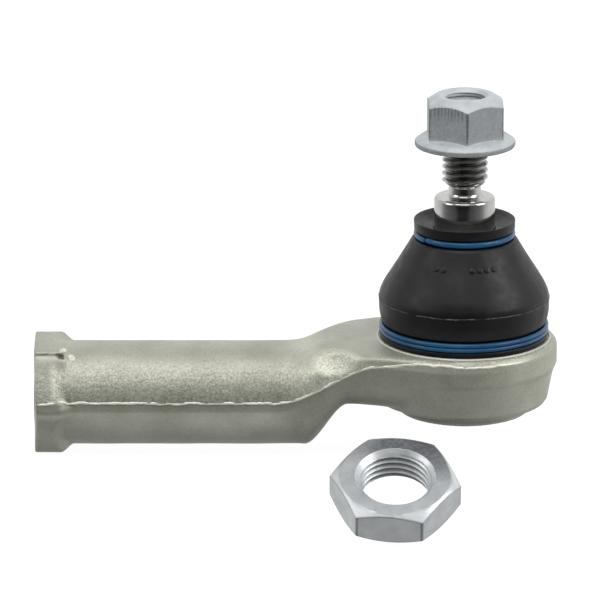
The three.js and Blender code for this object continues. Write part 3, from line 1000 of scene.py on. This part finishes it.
def upper_ring():
    """One flat coil of wire, its two ends meeting at the front left."""
    low, high = UPPER_LOW[2], UPPER_HIGH[2]
    outer = (UPPER_HIGH[0] - UPPER_LOW[0]) / 2
    start, gap = math.radians(-144), 0.012
    angles = np.linspace(start + gap, start + 2 * math.pi - gap, 260)
    near_end = np.minimum(angles - angles[0], angles[-1] - angles)
    side = np.where(angles - angles[0] < math.pi, 1.0, -1.0)
    heights = (low + high) / 2 + 0.12 * side * smooth(0.5, 0.0, near_end)
    size = (0.62, (high - low) / 2 - 0.12)
    shells = wire(angles, outer - size[0], heights, size)
    add_piece("blue_ring_top", shells, "boot_collar", "upper_clamp_ring", "blue_ring", crease=50)


def lower_ring():
    """Two coils of wire, stacked: the wire steps up at the back."""
    low, high = LOWER_LOW[2], LOWER_HIGH[2]
    outer = (LOWER_HIGH[0] - LOWER_LOW[0]) / 2
    thick = (high - low) / 4
    degrees = np.linspace(65, 780, 480)
    heights = mix(low + thick, high - thick, smooth(405, 445, degrees))
    size = (0.54, thick)
    shells = wire(np.radians(degrees), outer - size[0], heights, size)
    add_piece("blue_ring_foot", shells, "housing", "lower_clamp_ring", "blue_ring", crease=50)


# ---- nuts
def hexagon(across_flats, corner, turn):
    """Angles and radii of a hexagon with rounded corners, first corner at turn degrees, and 1
    for each point on a corner, 0 for the others."""
    per_side, per_corner = 44, 6
    apothem = across_flats / 2
    inner = (apothem - corner) / math.cos(math.pi / 6)
    points, sharp = [], []
    for k in range(6):
        middle, following = math.radians(turn + 60 * k), math.radians(turn + 60 * (k + 1))
        for t in np.linspace(-math.pi / 6, math.pi / 6, per_corner):
            points.append(inner * unit(middle) + corner * unit(middle + t))
            sharp.append(1.0)
        target = inner * unit(following) + corner * unit(following - math.pi / 6)
        start = points[-1]
        points += [start + (target - start) * t for t in np.linspace(0, 1, per_side + 1)[1:-1]]
        sharp += [0.0] * (per_side - 1)
    points = np.array(points)
    angles = np.unwrap(np.arctan2(points[:, 1], points[:, 0]))
    return angles, np.hypot(points[:, 0], points[:, 1]), np.array(sharp)


def angles_about(angles, middle):
    """The same angles, moved by whole turns to lie within half a turn of middle degrees."""
    centre = math.radians(middle)
    return centre + np.mod(angles - centre + math.pi, 2 * math.pi) - math.pi


def bore_with_sinks(angles, minor, low, high, mouth_low, mouth_high, dark=0.0):
    """A threaded bore with a countersink at each end."""
    def radius_at(height, lift):
        sink = np.maximum(mouth_low - (height - low), mouth_high - (high - height))
        inside = smooth(0.5, 1.3, np.minimum(height - low, high - height))
        radius = np.maximum(minor + THREAD_DEPTH * (1 - lift) * inside, sink)
        # the second value is painted shade in the thread's roots, and at least dark all over the
        # bore
        return radius, np.maximum(0.75 * (1 - lift), dark) * inside

    return thread_sleeve(angles, low, high, radius_at, shade="stain")


def stain_and_shade_strip(angles, rows, stain_and_shade_values):
    """A skin over polar rows, with one value per row or per point of the attribute for stains and
    painted shade.
    """
    stain = np.array([np.broadcast_to(s, angles.shape) for s in stain_and_shade_values])
    return strip(polar_rows(angles, rows), stain=stain)


def flange_nut():
    """A hexagon nut with a coned flange. Fine flutes mark the upper part of one facet."""
    low, high = NUT_LOW[2], NUT_HIGH[2]
    rim = (NUT_HIGH[0] - NUT_LOW[0]) / 2
    angles, hexed, sharp = hexagon(FLANGE_NUT_FLATS, 0.3, FLANGE_NUT_TURN)
    face, steep = 6.3, 0.65
    edge = high - (hexed - face) * steep
    flange = outline([
        (rim, low + 0.8, 0), (rim - 0.04, low + 1.02, 0.1), (rim - 0.35, low + 1.25, 0.2),
        (9.6, low + 1.95, 0.8), (7.0, low + 2.75, 0),
    ])
    order = np.argsort(flange[:, 0])

    def cone(radius):
        """Height of the flange's upper side."""
        return np.interp(radius, flange[order, 0], flange[order, 1])

    mouth = 4.85
    rows = [(5.6, low), (8.6, low), (rim - 0.35, low), (rim - 0.1, low + 0.1), (rim, low + 0.35)]
    rows += [tuple(point) for point in refine(flange[flange[:, 0] > 9.75], 0.3)]
    # painted shade on the flange's rim and underside
    stain_and_shade_values = [0.62 if z < low + 1.1 and r > 8.7 else 0.0 for r, z in rows]
    out = hexed + 0.22
    start = rows[-1][0]
    rows += [(mix(start, out, t), cone(mix(start, out, t))) for t in (0.33, 0.66, 1.0)]
    foot = cone(out) + 0.28
    rows += [(hexed + 0.06, cone(out) + 0.1), (hexed, foot)]
    # painted shade in the crease where the hexagon meets the flange
    stain_and_shade_values += [0.0] * (len(rows) - len(stain_and_shade_values) - 1) + [0.45]
    flute = 0.06 * (0.5 + 0.5 * np.cos(angles * 64)) * (1 - sharp)
    fluted = np.degrees(angles_about(angles, -117.8))
    flute *= smooth(-150, -143, fluted) * smooth(-88, -95, fluted)
    for t in (0.15, 0.35, 0.5, 0.6, 0.7, 0.8, 0.9, 0.96, 1.0):
        deep = flute * smooth(0.55, 0.9, t)
        rows.append((hexed - deep, mix(foot, edge - 0.1, t)))
        # the facets darker than flange and top, most at the corners, with painted shade in the
        # flutes
        stain_and_shade_values.append(0.5 + 0.5 * sharp + 7.0 * deep)
    rows += [(hexed - 0.1, edge + 0.05)]
    stain_and_shade_values += [0.1]
    rows += [(mix(hexed - 0.1, face, t), mix(edge + 0.05, high, t)) for t in (0.3, 0.6, 0.9)]
    rows += [(face - 0.12, high), (mouth + 0.12, high - 0.02), (mouth, high - 0.1)]
    stain_and_shade_values += [0.0] * (len(rows) - len(stain_and_shade_values))
    # painted shade over the whole bore, deepest in the thread's roots
    bore = bore_with_sinks(angles, FLANGE_BORE_R, low, high - 0.1, 5.6, mouth, 0.45)
    shells = placed([stain_and_shade_strip(angles, rows, stain_and_shade_values), bore], shift=STUD_AXIS)
    add_piece("flange_nut_zinc", shells, "flange_nut", "flange_nut", "zinc_flake", crease=28)


def jam_nut():
    """A hexagon nut chamfered on both sides, with painted shade on its far side, tipped as it
    lies.
    """
    half, face, mouth = JAM_THICK / 2, 11.4, MOUTH_R + 0.1
    angles, hexed, sharp = hexagon(JAM_FLATS, 0.4, -60 - JAM_TURN)
    drop = np.maximum(hexed - face, 0) * math.tan(math.radians(JAM_CHAMFER))
    # painted shade: the top face darkens towards its far side, and the chamfer darkens on the back
    # side
    far = np.sin(angles + 0.35)
    back = 0.36 + 0.56 * smooth(0.0, 0.95, far)
    bevel = 0.85 * smooth(0.1, 0.6, np.sin(angles - 0.1))
    rows = [(mouth, -half), (face, -half)]
    rows += [(mix(face, hexed - 0.12, t), mix(-half, drop - half, t)) for t in (0.5, 1.0)]
    stain_and_shade_values = [0.0] * len(rows)
    for t in (0, 0.05, 0.5, 0.95, 1.0):
        rows.append((hexed, mix(drop - half + 0.12, half - drop - 0.12, t)))
        stain_and_shade_values.append(0.1 + 0.6 * sharp + (0.5 if t in (0, 1.0) else 0.0))
    slant = (0.0, 0.15, 0.6, 0.97)
    rows += [(mix(hexed - 0.12, face, t), mix(half - drop, half, t)) for t in slant]
    rows += [(face - 0.1, half), (mouth + 0.15, half), (mouth, half - 0.08)]
    stain_and_shade_values += [0.25, bevel, bevel] + [back] * (len(rows) - len(stain_and_shade_values) - 4) + [0.0]
    bore = bore_with_sinks(angles, BORE_R, -half, half - 0.08, mouth, mouth)
    shells = [stain_and_shade_strip(angles, rows, stain_and_shade_values), bore]
    tip = Matrix.Rotation(math.radians(JAM_TIP), 3, "X")
    placed(shells, turn=tip, shift=(JAM_LOW + JAM_HIGH) / 2)
    add_piece("jam_nut_zinc", shells, "jam_nut", "jam_nut", "zinc_plate", crease=26)


# ---- carried-over CAD nodes
def finish_cad_nodes():
    """The hidden pieces keep their CAD shape and get a real finish."""
    hidden = {
        "upper_seat": "acetal", "lower_seat": "acetal", "boot_lip_insert": "acetal",
        "preload_spring": "spring_steel", "closing_plate": "zinc_plate",
    }
    for node, finish in hidden.items():
        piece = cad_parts[node]
        for slot in piece.material_slots:
            slot.material = FINISHES[finish]
        if not piece.material_slots:
            piece.data.materials.append(FINISHES[finish])


# ---- stage, light, camera
def floor():
    """A pale floor just under the part. It takes the part's shadow, but throws no light back on
    it and isn't seen in reflections."""
    mesh = bpy.data.meshes.new("floor")
    size = 3.0
    z = (FLOOR_Z - 0.2) * MM
    corners = [(-size, -size, z), (size, -size, z), (size, size, z), (-size, size, z)]
    mesh.from_pydata(corners, [], [(0, 1, 2, 3)])
    plane = bpy.data.objects.new("floor", mesh)
    bpy.context.scene.collection.objects.link(plane)
    f = Finish("pale_floor", base_color=(0.12, 0.12, 0.12), roughness=0.9,
               emission_color=(1.0, 1.0, 1.0), emission_strength=0.93)
    mesh.materials.append(f.material)
    plane.visible_glossy = False
    plane.visible_diffuse = False
    plane.visible_shadow = False


def studio():
    """A white tent, open and dark on the camera's side, with its light overhead."""
    world = bpy.data.worlds.new("studio")
    bpy.context.scene.world = world
    world.use_nodes = True
    tent = Nodes(world.node_tree)
    direction = tent.new("TexCoord").outputs["Generated"]

    def along(x, y, z):
        """How far a direction points along a vector: 0 right away from it, 1 right along it."""
        node = tent.new("VectorMath")
        node.operation = "DOT_PRODUCT"
        node.inputs[1].default_value = (x, y, z)
        tent.feed(node.inputs[0], direction)
        span = tent.new("MapRange")
        tent.feed(span.inputs["From Min"], -1.0)
        tent.feed(span.inputs["Value"], node.outputs["Value"])
        return span.outputs["Result"]

    def greys(source, *stops):
        """A grey for each cosine from -1 to 1."""
        return tent.ramp(source, *[((cosine + 1) / 2, grey) for cosine, grey in stops])

    front = along(-0.14, -0.99, 0.0)
    height = along(0.0, 0.0, 1.0)
    horizon = greys(front, (-0.4, 0.95), (0.0, 0.68), (0.12, 0.42), (0.4, 0.2), (0.85, 0.09),
                    (0.93, 0.02))
    ceiling = greys(front, (-0.6, 1.1), (-0.35, 0.42), (0.1, 1.0), (0.6, 0.45))
    ground = greys(front, (-0.5, 0.45), (0.6, 0.74))
    light = tent.blend(greys(height, (0.2, 0.0), (0.62, 1.0)), horizon, ceiling)
    light = tent.blend(greys(height, (-0.7, 1.0), (-0.3, 0.0)), light, ground)
    light = tent.blend(greys(height, (-1.0, 1.0), (-0.82, 0.0)), light, (0.15, 0.15, 0.15))
    tent.feed(tent.tree.nodes["Background"].inputs["Color"], light)

    area_light("overhead", (0.0, -0.35, 0.85), 0.6, 2.6)
    area_light("right", (1.0, -0.36, 0.62), 0.6, 5.0)
    area_light("left", (-0.9, -0.42, 0.58), 0.5, 2.4)
    fill = area_light("front_fill", (0.05, -1.25, 0.1), 1.0, 6.0)
    fill.visible_glossy = False


def area_light(name, place, size, energy):
    """A square lamp aimed at the part."""
    light = bpy.data.lights.new(name, "AREA")
    light.size = size
    light.energy = energy
    lamp = bpy.data.objects.new(name, light)
    lamp.location = place
    aim = Vector((0.06, 0, 0.01)) - lamp.location
    lamp.rotation_euler = aim.to_track_quat("-Z", "Y").to_euler()
    bpy.context.scene.collection.objects.link(lamp)
    return lamp


def camera():
    """The photograph's view: a long lens, a little above the horizon."""
    data = bpy.data.cameras.new("camera")
    data.lens = 414.0
    data.sensor_width = 36.0
    data.clip_end = 20.0
    view = bpy.data.objects.new("camera", data)
    away = Vector((0, -math.cos(VIEW_PITCH), math.sin(VIEW_PITCH)))
    view.location = Vector(VIEW_CENTRE) * MM + VIEW_DISTANCE * away
    view.rotation_euler = (math.pi / 2 - VIEW_PITCH, 0, 0)
    bpy.context.scene.collection.objects.link(view)
    bpy.context.scene.camera = view
    bpy.context.scene.view_settings.view_transform = "Standard"


housing()
ball_stud()
dust_boot()
upper_ring()
lower_ring()
flange_nut()
jam_nut()
finish_cad_nodes()
floor()
studio()
camera()
